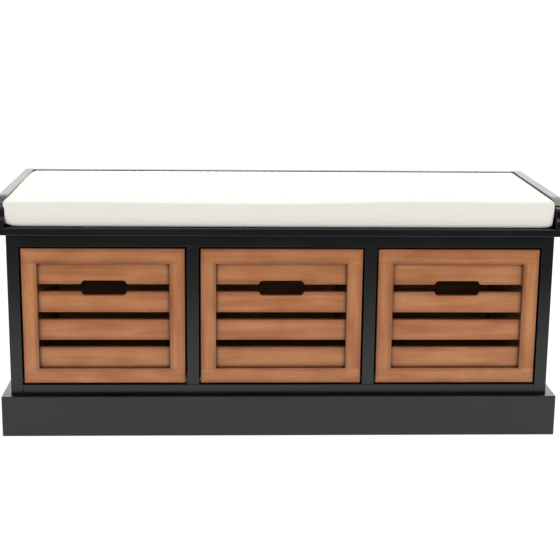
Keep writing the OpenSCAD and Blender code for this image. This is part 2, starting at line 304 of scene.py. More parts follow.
def wood(name, stops, pore_colour, rough, fibre_depth, blotch=0.0, painted_corner_shade=None):
    """A wood whose bands run through stops of colour, from late wood to early wood."""
    material, tree, shader = new_material(name)
    grain = add(tree, "ShaderNodeAttribute", attribute_name="grain").outputs["Vector"]
    edge = add(tree, "ShaderNodeAttribute", attribute_name="edge").outputs["Fac"]
    noises = {}
    for key, (long_mm, across_mm, detail) in GRAIN.items():
        stretch = add(tree, "ShaderNodeMapping", {"Vector": grain, "Scale": (
            1 / (long_mm * MM), 1 / (across_mm * MM), 1 / (across_mm * MM))})
        noises[key] = add(tree, "ShaderNodeTexNoise", {
            "Vector": stretch, "Scale": 1.0, "Detail": detail,
            "Distortion": 0.5 if key == "band" else 0.0})
    usual = {"From Min": 0.3, "From Max": 0.7}  # noise seldom leaves this range
    mixed = add(tree, "ShaderNodeMix", {"Factor": 0.16, "A": noises["band"],
                                        "B": noises["fibre"]})
    soaked = add(tree, "ShaderNodeMapRange", {"Value": noises["patch"], "To Min": -blotch,
                                              "To Max": blotch, **usual})
    spread = add(tree, "ShaderNodeMath", {0: mixed, 1: soaked}, operation="ADD")
    colour = add(tree, "ShaderNodeValToRGB", {"Fac": spread})
    ramp(colour, stops)
    pits = add(tree, "ShaderNodeMapRange", {"Value": noises["pore"], "From Min": 0.66,
                                            "From Max": 0.74, "To Max": 0.35})
    rubbed = add(tree, "ShaderNodeMath", {0: edge, 1: 0.1 if painted_corner_shade else 0.3},
                 operation="MULTIPLY")
    layers = [(pits, pore_colour), (rubbed, stops[-1][1])]
    if painted_corner_shade:
        # Darker towards the edges of the panel and of the hole in it
        rim = add(tree, "ShaderNodeMapRange", {
            "Value": edge_distance(tree), "From Min": 0.0, "From Max": RIM_MM * MM,
            "To Min": 1.0, "To Max": 0.0}, interpolation_type="SMOOTHSTEP")
        uneven = add(tree, "ShaderNodeMapRange", {
            "Value": noises["patch"], "To Min": RIM_DARK + 0.12, "To Max": RIM_DARK - 0.12,
            **usual})
        deeper = add(tree, "ShaderNodeMath", {0: rim, 1: uneven}, operation="MULTIPLY")
        # Painted shade: Ambient Occlusion finds the inside corners, which are darkened towards the
        # corner shade colour
        corner = add(tree, "ShaderNodeAmbientOcclusion", {"Distance": CORNER_MM * MM}, samples=8)
        depth = add(tree, "ShaderNodeMapRange", {
            "Value": corner.outputs["AO"], "From Min": 0.45, "From Max": 0.9, "To Min": 0.9,
            "To Max": 0.0})
        layers += [(deeper, RIM_COLOUR), (depth, painted_corner_shade)]
    for amount, stain_and_shade in layers:
        colour = add(tree, "ShaderNodeMix", {"Factor": amount, "A": colour, "B": linear(stain_and_shade)},
                     data_type="RGBA")
    sheen = add(tree, "ShaderNodeMapRange", {"Value": noises["fibre"], "To Min": rough - 0.04,
                                             "To Max": rough + 0.06, **usual})
    relief = add(tree, "ShaderNodeMath", {0: noises["fibre"], 1: pits}, operation="SUBTRACT")
    skin = add(tree, "ShaderNodeBump", {"Height": relief, "Strength": 0.3,
                                        "Distance": fibre_depth * MM})
    feed(tree, shader, {"Base Color": colour, "Roughness": sheen, "Normal": skin})
    return material


# %% The woods of the bench
# A honey-brown wiping stain under a thin satin varnish
# Its last colour is painted shade, laid into the inside corners
stained_wood = wood("honey_stained_paulownia",
                    [(0.25, "#a25f31"), (0.5, "#b67443"), (0.75, "#c48654")], "#84502b",
                    rough=0.34, fibre_depth=0.08, blotch=0.12, painted_corner_shade="#4f2811")
# The boxes get one thin coat of the same stain and no varnish, so they are duller
# Its last colour, too, is painted shade for the inside corners
box_wood = wood("stained_pine", [(0.3, "#996a45"), (0.5, "#ad7e58"), (0.72, "#bd8f69")],
                "#7d5233", rough=0.6, fibre_depth=0.1, blotch=0.1, painted_corner_shade="#4a2713")
# Rotary-cut veneer on the drawer bases, wiped with the same stain: wide, lazy figure
veneer = wood("stained_plywood", [(0.3, "#8a5632"), (0.5, "#9b6540"), (0.7, "#a97550")],
              "#6b4227", rough=0.55, fibre_depth=0.05, blotch=0.12)
# Bare planed pine: pale, with low contrast and a dry, matt face
plain_wood = wood("planed_pine", [(0.3, "#b98e5c"), (0.5, "#cfa876"), (0.72, "#dcbd8f")],
                  "#9c7444", rough=0.6, fibre_depth=0.1)
# Pressed fibreboard: brown, almost without figure
fibreboard = wood("pressed_fibreboard", [(0.3, "#614831"), (0.5, "#664b34"), (0.7, "#6b4f38")],
                  "#4c3725", rough=0.5, fibre_depth=0.03)
print("made", stained_wood.name, box_wood.name, veneer.name, plain_wood.name, fibreboard.name)

# %% [markdown]
# ## Small hard parts
#
# The corner glides and the drawers' pads are moulded nylon: ivory, slightly waxy, with a
# faint mould texture, and a little light passes into them. The screws are zinc-plated steel,
# whose passivation gives a cold sheen that shifts in tone.

# %% Nylon and zinc
GRIT_PER_M, SPANGLES_PER_M = 900.0, 700.0  # about 1.1 mm and 1.4 mm
nylon, tree, shader = new_material("moulded_nylon")
place = add(tree, "ShaderNodeTexCoord").outputs["Object"]
grit = add(tree, "ShaderNodeTexNoise", {"Vector": place, "Scale": GRIT_PER_M})
tint = add(tree, "ShaderNodeValToRGB", {"Fac": grit})
ramp(tint, [(0.3, "#d9d2bf"), (0.7, "#e8e3d5")])
skin = add(tree, "ShaderNodeBump", {"Height": grit, "Strength": 0.2, "Distance": 0.05 * MM})
feed(tree, shader, {"Base Color": tint, "Normal": skin, "Roughness": 0.42,
                    "Subsurface Weight": 0.15, "Subsurface Scale": 1.0 * MM})

zinc, tree, shader = new_material("zinc_plated_steel")
place = add(tree, "ShaderNodeTexCoord").outputs["Object"]
spangle = add(tree, "ShaderNodeTexNoise", {"Vector": place, "Scale": SPANGLES_PER_M,
                                           "Detail": 3.0})
tint = add(tree, "ShaderNodeValToRGB", {"Fac": spangle})
ramp(tint, [(0.35, "#a7a9ab"), (0.65, "#c9cbcc")])
dull = add(tree, "ShaderNodeMapRange", {"Value": spangle, "To Min": 0.25, "To Max": 0.45})
feed(tree, shader, {"Base Color": tint, "Roughness": dull, "Metallic": 1.0})
print("made", nylon.name, zinc.name)

# %% [markdown]
# ## Boards
#
# A real board never has a razor edge: it is sanded, and the paint draws back from it. That
# thin rounded strip is what catches the light, and it is most of what makes a render look
# like furniture. The fixed frame's solids are exact but sharp, so each one is copied, merged,
# and its outside edges are rounded. Bevelling in mesh code rather than with a modifier lets
# the script mark the new strips, with an attribute called edge, for the paint to thin on.


# %% Round a board's edges and give it its grain
AXIS = {"x": 0, "y": 1, "z": 2}
ARRIS_DEG, SMOOTH_DEG = 35, 38  # edges sharper than these are rounded, or stay crisp
shuffle = random.Random(7)


def islands(bm):
    """Groups of faces that hang together, one for each separate solid."""
    left, groups = set(bm.faces), []
    while left:
        todo, group = [left.pop()], []
        while todo:
            face = todo.pop()
            group.append(face)
            for e in face.edges:
                for other in e.link_faces:
                    if other in left:
                        left.remove(other)
                        todo.append(other)
        groups.append(group)
    def lowest(group):
        """The first of a solid's corners, which puts the solids in the same order each run."""
        first = min(v.co.to_tuple() for face in group for v in face.verts)
        return tuple(round(c, 4) for c in first)

    return sorted(groups, key=lowest)


FINE = 0.12 * MM
NO_HOLE = Vector((-1, -1, -1))


def solid_of(mesh):
    """A mesh's loose triangles, merged in a bmesh."""
    bm = bmesh.new()
    bm.from_mesh(mesh)
    bmesh.ops.remove_doubles(bm, verts=bm.verts, dist=WELD)
    return bm


def mesh_from(name, bm):
    """Turns bm into a mesh, and frees it."""
    mesh = bpy.data.meshes.new(name)
    bm.to_mesh(mesh)
    bm.free()
    return mesh


def ease(bm, radius, along, outer=None, panel=None):
    """Rounds the convex edges in bm, or only lightly where outer(middle) is false."""
    bmesh.ops.dissolve_limit(bm, angle_limit=math.radians(1), verts=bm.verts, edges=bm.edges)
    edge_layer = bm.faces.layers.float.new("edge")
    passes = [(radius, outer), (FINE, None)] if outer else [(radius, None)]
    for offset, chosen in passes:
        sharp = [e for e in bm.edges if len(e.link_faces) == 2 and e.is_convex
                 and e.calc_face_angle() > math.radians(ARRIS_DEG)
                 and (chosen is None or chosen((e.verts[0].co + e.verts[1].co) / 2))]
        rounded = bmesh.ops.bevel(bm, geom=sharp, offset=offset, offset_type="OFFSET",
                                  segments=3, profile=0.5, affect="EDGES", clamp_overlap=True)
        for face in rounded["faces"]:
            face[edge_layer] = 1.0
    grain, spot, reach, hole = (bm.verts.layers.float_vector.new(name)
                                for name in ("grain", "spot", "reach", "hole"))
    order = [AXIS[along]] + [i for i in range(3) if i != AXIS[along]]
    for group in islands(bm):
        shift = Vector([shuffle.uniform(0, 9) for _ in range(3)])
        verts = {v for face in group for v in face.verts}
        low, high = (Vector(pick(v.co[i] for v in verts) for i in range(3)) for pick in (min, max))
        middle, half, opening = panel or ((low + high) / 2, (high - low) / 2, NO_HOLE)
        for vert in verts:
            vert[grain] = Vector([vert.co[i] for i in order]) + shift
            vert[spot], vert[reach], vert[hole] = vert.co - middle, half, opening


def made_solid(name, bm, material, body):
    """Turns bm into a shaded object that rides on a body."""
    mesh = mesh_from(name, bm)
    mesh.materials.append(material)
    mesh.shade_smooth()
    mesh.set_sharp_from_angle(angle=math.radians(SMOOTH_DEG))
    piece = put(name, mesh)
    # Big faces keep their own normal, so that only the rounded strips shade round
    weigh = piece.modifiers.new("weigh", "WEIGHTED_NORMAL")
    weigh.keep_sharp = True
    plain(piece)
    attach(piece, body)
    return piece


def plain(piece):
    """Replaces a piece's mesh by what its modifiers make of it, and removes them."""
    depsgraph = bpy.context.evaluated_depsgraph_get()
    made = bpy.data.meshes.new_from_object(piece.evaluated_get(depsgraph), depsgraph=depsgraph)
    old = piece.data
    piece.modifiers.clear()
    piece.data = made
    made.name = piece.name
    bpy.data.meshes.remove(old)


def board(node, material, along, radius, outer=None, panel=None):
    """Stands for a node of the frame with the same solid, edges eased by a radius in mm."""
    bm = solid_of(NODES[node].data)
    ease(bm, radius * MM, along, outer, panel)
    piece = made_solid(node + "_board", bm, material, BODY_OF[node])
    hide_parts(node)
    return piece


# %% [markdown]
# ## The carcass
#
# Panels, dividers, rails and plinth boards get the black paint. The arm rails are handled
# every day and have a fuller rounding than the flat boards. The back panel is unpainted
# fibreboard, as on most furniture that stands against a wall.

# %% Carcass boards
FLAT_R, ARM_RAIL_R, HARDBOARD_R, STOP_R, GLIDE_R = 0.8, 2.2, 0.4, 0.6, 0.7
PAINTED = {"side_panel_left": "z", "side_panel_right": "z", "divider_left": "z",
           "divider_right": "z", "floor_panel": "x", "top_rail": "x", "seat_board": "x",
           "back_rail": "x", "plinth_front": "x", "plinth_left": "y", "plinth_right": "y",
           "plinth_back": "x"}
FULLER = {"back_rail": 2.0, "plinth_front": 1.2, "plinth_left": 1.2, "plinth_right": 1.2}
for node, along in PAINTED.items():
    board(node, black_paint, along, FULLER.get(node, FLAT_R))
for node in ("arm_rail_left", "arm_rail_right"):
    board(node, black_paint, "y", ARM_RAIL_R)
board("back_panel", fibreboard, "x", HARDBOARD_R)
board("drawer_stops", plain_wood, "z", STOP_R)
board("corner_glides", nylon, "y", GLIDE_R)
print(len(PAINTED) + 5, "carcass pieces")

# %% [markdown]
# ## The drawers
#
# Each drawer is a stained pine box behind a framed front. The frame's rails run the full
# width with their grain level, and the stiles stand between them with their grain upright,
# so the joints show as a change of direction. The front is sanded after it is glued: only its
# outer arrises are well rounded, and the edges at the joints are barely touched. Because every
# board has its own grain shift, no two fronts look alike.

# %% Drawer boxes and frames
FRAME_R, BOX_R, BASE_R, PAD_R = 2.6, 1.0, 0.3, 0.6
BOX_PARTS = {"side_left": "y", "side_right": "y", "back": "x"}
FRAME_PARTS = {"frame_top": "x", "frame_bottom": "x", "stile_left": "z", "stile_right": "z"}


def front_of(drawer):
    """The low and high corner of a drawer's front, and those of the hole in its frame."""
    (low, rail_top), (rail_under, high) = (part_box(f"{drawer}_frame_{rail}")
                                           for rail in ("bottom", "top"))
    left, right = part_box(f"{drawer}_stile_left")[1][0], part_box(f"{drawer}_stile_right")[0][0]
    return [Vector(c) for c in (low, high, (left, low[1], rail_top[2]),
                                (right, high[1], rail_under[2]))]


def on_rim(drawer):
    """A test for the four outer arrises of a drawer's front, which are rounded most."""
    low, high, _, _ = front_of(drawer)

    def on_arris(p):
        sides = (abs(p.x - low.x), abs(p.x - high.x), abs(p.z - low.z), abs(p.z - high.z))
        return abs(p.y - low.y) < 10 * WELD and min(sides) < 10 * WELD

    return on_arris


for drawer in DRAWERS:
    low, high, hole_low, hole_high = front_of(drawer)
    opening = (hole_high - hole_low) / 2
    opening.y = 1.0  # it goes right through
    panel = ((low + high) / 2, (high - low) / 2, opening)
    for part, along in FRAME_PARTS.items():
        board(f"{drawer}_{part}", stained_wood, along, FRAME_R,
              on_rim(drawer), panel)
    for part, along in BOX_PARTS.items():
        board(f"{drawer}_{part}", box_wood, along, BOX_R)
    board(f"{drawer}_base", veneer, "x", BASE_R)
    board(f"{drawer}_rear_glides", nylon, "y", PAD_R)
print("boxes and frames for", len(DRAWERS), "drawers")

# %% [markdown]
# ## The slats
#
# Four slats cross each front. They repeat at one pitch, so a geometry tree makes them: a
# column of points, a bar on each, and one rounded cut-out through the first gap for the
# hand. The first and last bars are a little taller, because they reach into the rebates of
# the frame. Named inputs hold the sizes, and they are read from the frame's own slats, so the
# tree can't drift away from the design.


# %% Helpers for geometry trees
def geometry_tree(name, sockets):
    """A new geometry tree with named inputs, given as (name, kind, default)."""
    tree = bpy.data.node_groups.new(name, "GeometryNodeTree")
    tree.interface.new_socket("Geometry", in_out="INPUT", socket_type="NodeSocketGeometry")
    for label, kind, default in sockets:
        socket = tree.interface.new_socket(label, in_out="INPUT", socket_type="NodeSocket" + kind)
        if default is not None:
            socket.default_value = default
    tree.interface.new_socket("Geometry", in_out="OUTPUT", socket_type="NodeSocketGeometry")
    return tree


def end_tree(tree, geometry, material):
    """Ends a tree: what it placed becomes plain mesh, and gets its material."""
    real = add(tree, "GeometryNodeRealizeInstances", {"Geometry": geometry})
    shaded = add(tree, "GeometryNodeSetMaterial", {"Geometry": real, "Material": material})
    add(tree, "NodeGroupOutput", {"Geometry": shaded})


def run_tree(name, mesh, tree, values):
    """Puts mesh through a tree with named values, and returns the plain result."""
    piece = put(name, mesh)
    modifier = piece.modifiers.new("tree", "NODES")
    modifier.node_group = tree
    identifier = {item.name: item.identifier for item in tree.interface.items_tree
                  if item.item_type == "SOCKET" and item.in_out == "INPUT"}
    for label, value in values.items():
        modifier[identifier[label]] = value
    plain(piece)
    return piece


# %% The bars of a slatted panel
slat_tree = geometry_tree("slatted_panel", [
    ("Length", "Float", 0.25), ("Height", "Float", 0.04), ("Thickness", "Float", 0.01),
    ("Pitch", "Float", 0.05), ("Count", "Int", 4), ("Top Tongue", "Float", 0.006),
    ("Bottom Tongue", "Float", 0.006), ("Cutout Width", "Float", 0.08),
    ("Cutout Height", "Float", 0.03), ("Cutout Radius", "Float", 0.007),
    ("Middle", "Vector", None), ("Material", "Material", None)])
group = add(slat_tree, "NodeGroupInput").outputs
sums = {"index": add(slat_tree, "GeometryNodeInputIndex")}
# The first and last bars are taller by a tongue, and lean out by half of it
for name, operation, a, b in (
        ("step", "MULTIPLY", group["Pitch"], -1.0),
        ("before_last", "SUBTRACT", group["Count"], 1.5),
        ("is_first", "LESS_THAN", "index", 0.5),
        ("is_last", "GREATER_THAN", "index", "before_last"),
        ("up", "MULTIPLY", "is_first", group["Top Tongue"]),
        ("down", "MULTIPLY", "is_last", group["Bottom Tongue"]),
        ("extra", "ADD", "up", "down"), ("tall", "ADD", "extra", group["Height"]),
        ("one_way", "SUBTRACT", "up", "down"), ("lean", "MULTIPLY", "one_way", 0.5),
        ("plug_depth", "MULTIPLY", group["Thickness"], 3.0),
        ("plug_y", "MULTIPLY", "plug_depth", 0.5), ("plug_z", "MULTIPLY", group["Pitch"], -0.5)):
    a, b = (sums[value] if isinstance(value, str) else value for value in (a, b))
    sums[name] = add(slat_tree, "ShaderNodeMath", {0: a, 1: b}, operation=operation)
vectors = {name: add(slat_tree, "ShaderNodeCombineXYZ", parts) for name, parts in (
    ("step", {"Z": sums["step"]}), ("lean", {"Z": sums["lean"]}),
    ("bar", {"X": group["Length"], "Y": group["Thickness"], "Z": sums["tall"]}),
    ("plug", {"Y": sums["plug_y"], "Z": sums["plug_z"]}))}
column = add(slat_tree, "GeometryNodeMeshLine", {"Count": group["Count"],
                                                 "Offset": vectors["step"]})
nudged = add(slat_tree, "GeometryNodeSetPosition", {"Geometry": column,
                                                    "Offset": vectors["lean"]})
bar = add(slat_tree, "GeometryNodeMeshCube", {"Size": (1, 1, 1)})
bars = add(slat_tree, "GeometryNodeInstanceOnPoints", {"Points": nudged, "Instance": bar,
                                                       "Scale": vectors["bar"]})
solid_bars = add(slat_tree, "GeometryNodeRealizeInstances", {"Geometry": bars})
print(len(sums) - 1, "sums place the bars and the plug")

# %% The hand cut-out: a rounded plug, three bars thick, taken away from them
sheet = add(slat_tree, "GeometryNodeCurvePrimitiveQuadrilateral", {
    "Width": group["Cutout Width"], "Height": group["Cutout Height"]})
rounded = add(slat_tree, "GeometryNodeFilletCurve", {
    "Curve": sheet, "Count": 8, "Radius": group["Cutout Radius"]}, mode="POLY")
face = add(slat_tree, "GeometryNodeFillCurve", {"Curve": rounded}, mode="NGONS")
pulled = add(slat_tree, "GeometryNodeExtrudeMesh", {
    "Mesh": face, "Offset": (0, 0, 1), "Offset Scale": sums["plug_depth"], "Individual": False})
joined = add(slat_tree, "GeometryNodeJoinGeometry")
for part in (pulled, add(slat_tree, "GeometryNodeFlipFaces", {"Mesh": face})):
    feed(slat_tree, joined, {"Geometry": part})
plug = add(slat_tree, "GeometryNodeMergeByDistance", {"Geometry": joined, "Distance": WELD})
placed_plug = add(slat_tree, "GeometryNodeTransform", {
    "Geometry": plug, "Translation": vectors["plug"], "Rotation": (math.pi / 2, 0, 0)})
cut = add(slat_tree, "GeometryNodeMeshBoolean", {"Mesh 1": solid_bars, "Mesh 2": placed_plug},
          operation="DIFFERENCE", solver="EXACT")
placed = add(slat_tree, "GeometryNodeTransform", {"Geometry": cut,
                                                  "Translation": group["Middle"]})
end_tree(slat_tree, placed, group["Material"])
print("slat tree has", len(slat_tree.nodes), "nodes")

# %% Run the slat tree once for each drawer
GRIP_W, GRIP_H, GRIP_R, SLAT_R = (mm * MM for mm in (83, 28, 7, 1.8))
for drawer in DRAWERS:
    names = [f"{drawer}_slat_{i}" for i in range(1, 5)]
    lows, highs = zip(*(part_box(name) for name in names))
    height = highs[1][2] - lows[1][2]
    pitch = lows[1][2] - lows[2][2]
    top_middle = lows[0][2] + height / 2
    piece = run_tree(drawer + "_slats", bpy.data.meshes.new("seed"), slat_tree, {
        "Length": highs[1][0] - lows[1][0], "Height": height,
        "Thickness": highs[1][1] - lows[1][1], "Pitch": pitch, "Count": len(names),
        "Top Tongue": highs[0][2] - lows[0][2] - height,
        "Bottom Tongue": highs[3][2] - lows[3][2] - height,
        "Cutout Width": GRIP_W, "Cutout Height": GRIP_H, "Cutout Radius": GRIP_R,
        "Middle": Vector(((lows[0][0] + highs[0][0]) / 2, (lows[0][1] + highs[0][1]) / 2,
                          top_middle)),
        "Material": stained_wood})
    bm = solid_of(piece.data)
    bpy.data.objects.remove(piece)
    ease(bm, SLAT_R, "x")
    slats = made_solid(drawer + "_slats", bm, stained_wood, drawer)
    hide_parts(*names)
    print(drawer, "slats:", len(slats.data.polygons), "faces")

# %% [markdown]
# ## Screws
#
# The back panel and the corner glides are held by pan-head screws with a cross recess. One
# head is modelled in mesh code, and a small tree sets a copy on every point with its own
# turn, because nobody lines screws up. The points come from the frame: one for each separate
# screw in its node.

# %% One pan head with a cross recess
HEAD_R, HEAD_H, CROSS_W, CROSS_L, CROSS_D = (mm * MM for mm in (3.4, 1.8, 0.9, 3.4, 1.0))
# Its outline from the crown to the seat, as parts of its radius and height
DOME = ((0, 1), (0.45, 0.97), (0.75, 0.82), (0.93, 0.5), (1, 0.12), (1, 0), (0, 0))


def screw_head():
    """A domed head on z = 0, facing +Z, with a cross cut into its crown."""
    bm = bmesh.new()
    verts = [bm.verts.new((r * HEAD_R, 0, z * HEAD_H)) for r, z in DOME]
    edges = [bm.edges.new(pair) for pair in zip(verts, verts[1:])]
    bmesh.ops.spin(bm, geom=verts + edges, cent=(0, 0, 0), axis=(0, 0, 1),
                   angle=2 * math.pi, steps=20)
    bmesh.ops.remove_doubles(bm, verts=bm.verts, dist=WELD)
    bmesh.ops.recalc_face_normals(bm, faces=bm.faces)
    head = put("screw_head", mesh_from("screw_head", bm))
    cutters = []
    for size in ((CROSS_L, CROSS_W), (CROSS_W, CROSS_L)):
        bm = bmesh.new()
        bmesh.ops.create_cube(bm, size=1, matrix=Matrix.Translation((0, 0, HEAD_H))
                              @ Matrix.Diagonal((*size, 2 * CROSS_D, 1)))
        cutters.append(put("cutter", mesh_from("cutter", bm)))
        cut = head.modifiers.new("cross", "BOOLEAN")
        cut.object = cutters[-1]
        cut.solver = "EXACT"
    plain(head)
    for bar in cutters:
        bpy.data.objects.remove(bar)
    return head


# %% A tree that sets a head on every point
screw_tree = geometry_tree("screws", [
    ("Head", "Object", None), ("Tilt", "Vector", None), ("Seed", "Int", 3),
    ("Material", "Material", None)])
group = add(screw_tree, "NodeGroupInput").outputs
head_info = add(screw_tree, "GeometryNodeObjectInfo", {"Object": group["Head"],
                                                       "As Instance": True})
turn = add(screw_tree, "FunctionNodeRandomValue", {"Max": (0, 0, math.tau),
                                                   "Seed": group["Seed"]},
           data_type="FLOAT_VECTOR")
set_heads = add(screw_tree, "GeometryNodeInstanceOnPoints", {
    "Points": group["Geometry"], "Instance": head_info.outputs["Geometry"],
    "Rotation": group["Tilt"]})
turned = add(screw_tree, "GeometryNodeRotateInstances", {
    "Instances": set_heads, "Rotation": turn, "Local Space": True})
end_tree(screw_tree, turned, group["Material"])


def seats(node, axis):
    """For each solid in a node, the place under its head, which faces up an axis."""
    bm = solid_of(NODES[node].data)
    places = []
    for solid in islands(bm):
        points = [v.co for face in solid for v in face.verts]
        low, high = (Vector(pick(p[i] for p in points) for i in range(3)) for pick in (min, max))
        seat = (low + high) / 2
        seat[axis] = high[axis] - HEAD_H
        places.append(seat)
    bm.free()
    return places


HEAD_SMOOTH_DEG = 40
head = screw_head()
head_points = len(head.data.vertices)
for node, axis, tilt in (("back_panel_screws", 1, (-math.pi / 2, 0, 0)),
                         ("glide_screws", 2, (0, 0, 0))):
    points = bpy.data.meshes.new("points")
    points.from_pydata([p[:] for p in seats(node, axis)], [], [])
    screws = run_tree(node + "_heads", points, screw_tree, {
        "Head": head, "Tilt": Vector(tilt), "Seed": 3, "Material": zinc})
    screws.data.shade_smooth()
    screws.data.set_sharp_from_angle(angle=math.radians(HEAD_SMOOTH_DEG))
    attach(screws, BODY_OF[node])
    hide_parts(node)
    print(screws.name, "has", len(screws.data.vertices) // head_points, "heads")
bpy.data.objects.remove(head)

# %% [markdown]
# ## Cotton cloth
#
# The cushion's cover is undyed cotton canvas. A plain weave passes each thread over one and
# under the next, so its height is a checker of two rows of rounded threads. The real threads
# are about half a millimetre apart, too fine to show from where one stands, so they are drawn
# at a coarser pitch. The weave reads an attribute that lays each side of the cushion flat, as
# the cloth was before it was sewn. A few thicker threads, slubs, break up the surface.

# %% Cotton canvas and its thread
THREAD_MM = 1.3
SLUBS_PER_M = (14, 500, 1)  # a slub is about 70 mm long and 2 mm wide
TWISTS_PER_M = 900.0
canvas, tree, shader = new_material("undyed_cotton_canvas")
flat = add(tree, "ShaderNodeAttribute", attribute_name="weave").outputs["Vector"]
pace = add(tree, "ShaderNodeMapping", {"Vector": flat, "Location": (0, 0, 0.5),
                                       "Scale": (1 / (THREAD_MM * MM),) * 3})
axes = add(tree, "ShaderNodeSeparateXYZ", {"Vector": pace}).outputs
threads = []
for axis in ("X", "Y"):
    turn = add(tree, "ShaderNodeMath", {0: axes[axis], 1: math.pi}, operation="MULTIPLY")
    wave = add(tree, "ShaderNodeMath", {0: turn}, operation="SINE")
    threads.append(add(tree, "ShaderNodeMath", {0: wave}, operation="ABSOLUTE"))
over = add(tree, "ShaderNodeTexChecker", {"Vector": pace, "Scale": 1.0}).outputs["Fac"]
height = add(tree, "ShaderNodeMix", {"Factor": over, "A": threads[0], "B": threads[1]})
slub_run = add(tree, "ShaderNodeMapping", {"Vector": flat, "Scale": SLUBS_PER_M})
slub = add(tree, "ShaderNodeTexNoise", {"Vector": slub_run, "Scale": 1.0, "Detail": 2.0})
cream = add(tree, "ShaderNodeValToRGB", {"Fac": slub})
ramp(cream, [(0.35, "#eeeadf"), (0.7, "#f2efe7")])
# Painted shade: the hollows between the threads are made a little darker
pits = add(tree, "ShaderNodeMapRange", {"Value": height, "To Min": 0.05, "To Max": 0.0})
colour = add(tree, "ShaderNodeMix", {"Factor": pits, "A": cream, "B": linear("#cfc8b4")},
             data_type="RGBA")
relief = add(tree, "ShaderNodeMath", {0: slub, 1: 0.4, 2: height}, operation="MULTIPLY_ADD")
skin = add(tree, "ShaderNodeBump", {"Height": relief, "Strength": 0.25, "Distance": 0.1 * MM})
feed(tree, shader, {"Base Color": colour, "Normal": skin, "Roughness": 0.9,
                    "Specular IOR Level": 0.25, "Sheen Weight": 0.15, "Sheen Roughness": 0.5})

thread, tree, shader = new_material("polyester_thread")
place = add(tree, "ShaderNodeTexCoord").outputs["Object"]
twist = add(tree, "ShaderNodeTexWave", {"Vector": place, "Scale": TWISTS_PER_M},
            bands_direction="DIAGONAL").outputs["Fac"]
tint = add(tree, "ShaderNodeValToRGB", {"Fac": twist})
ramp(tint, [(0.2, "#e4dfd0"), (0.8, "#f5f2ea")])
feed(tree, shader, {"Base Color": tint, "Roughness": 0.55})
print("made", canvas.name, thread.name)

# %% [markdown]
# ## The cushion
#
# A box cushion is two flat panels and a strip sewn round between them, pulled over a foam
# block. The seams stay where they are and the panels swell between them, so the shape starts
# as a block with small rounds along its edges. It is remeshed into an even net and drawn back
# onto the block, which keeps its arrises crisp. The seam lines are pinned, and a cloth
# simulation with a little air pressure swells the rest. How far a point may move is capped,
# because foam pushes only until the cover is tight.

# %% A block, lofted from outlines
cushion_low, cushion_high = (Vector(c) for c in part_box("cushion_cover"))
# It was cut a little long, and lies slightly to the left and towards the front
LEFT, RIGHT = cushion_low.x - 7.0 * MM, cushion_high.x + 2.0 * MM
FRONT, BACK = cushion_low.y - 5.5 * MM, cushion_high.y + 0.5 * MM
BOTTOM, TOP = cushion_low.z, cushion_high.z + 0.5 * MM
TOP_R, BOTTOM_R, CORNER_R = 6.0 * MM, 3.0 * MM, 10.0 * MM
MID = Vector(((LEFT + RIGHT) / 2, (FRONT + BACK) / 2, 0))
HALF_W, HALF_D = (RIGHT - LEFT) / 2, (BACK - FRONT) / 2


def outline(inset, steps=8):
    """The cushion's plan, a rounded rectangle drawn in by inset, as points in order."""
    points = []
    for quarter, (sx, sy) in enumerate(((1, 1), (-1, 1), (-1, -1), (1, -1))):
        centre = (MID.x + sx * (HALF_W - CORNER_R), MID.y + sy * (HALF_D - CORNER_R))
        for i in range(steps + 1):
            a = (quarter + i / steps) * math.pi / 2
            points.append((centre[0] + (CORNER_R - inset) * math.cos(a),
                           centre[1] + (CORNER_R - inset) * math.sin(a)))
    return points


def block():
    """Rings up the cushion's side, with a quarter round at its lower and upper edges."""
    bend = [math.pi / 2 * i / 5 for i in range(6)]  # five steps through each quarter
    rings = [(BOTTOM_R * (1 - math.sin(a)), BOTTOM + BOTTOM_R * (1 - math.cos(a))) for a in bend]
    rings += [(TOP_R * (1 - math.sin(a)), TOP - TOP_R * (1 - math.cos(a))) for a in reversed(bend)]
    bm = bmesh.new()
    layers = [[bm.verts.new((x, y, z)) for x, y in outline(inset)] for inset, z in rings]
    for lower, upper in zip(layers, layers[1:]):
        for i in range(len(lower)):
            j = (i + 1) % len(lower)
            bm.faces.new((lower[i], lower[j], upper[j], upper[i]))
    bm.faces.new(reversed(layers[0]))
    bm.faces.new(layers[-1])
    return mesh_from("cushion_block", bm)


VOXEL_MM = 6.0
former = put("cushion_former", block())
cushion = put("cushion", former.data.copy())
net = cushion.modifiers.new("net", "REMESH")
net.mode = "VOXEL"
net.voxel_size = VOXEL_MM * MM
drawn = cushion.modifiers.new("drawn", "SHRINKWRAP")
drawn.target = former
drawn.wrap_method = "NEAREST_SURFACEPOINT"
plain(cushion)
bpy.data.objects.remove(former)
print("cushion net:", len(cushion.data.vertices), "points")


# %% Pin the seams and swell the panels
def coordinates(mesh):
    """A mesh's points as an array of rows."""
    rows = np.empty(len(mesh.vertices) * 3)
    mesh.vertices.foreach_get("co", rows)
    return rows.reshape(-1, 3)


def seam_distance(points):
    """Distance of each point from the nearer of the two seams."""
    dx = np.abs(points[:, 0] - MID.x) - (HALF_W - CORNER_R)
    dy = np.abs(points[:, 1] - MID.y) - (HALF_D - CORNER_R)
    wall = CORNER_R - np.hypot(np.maximum(dx, 0), np.maximum(dy, 0)) - np.minimum(
        np.maximum(dx, dy), 0)
    sunk = [r * (1 - math.sqrt(0.5)) for r in (TOP_R, BOTTOM_R)]
    return np.minimum(np.hypot(wall - sunk[0], points[:, 2] - (TOP - sunk[0])),
                      np.hypot(wall - sunk[1], points[:, 2] - (BOTTOM + sunk[1])))


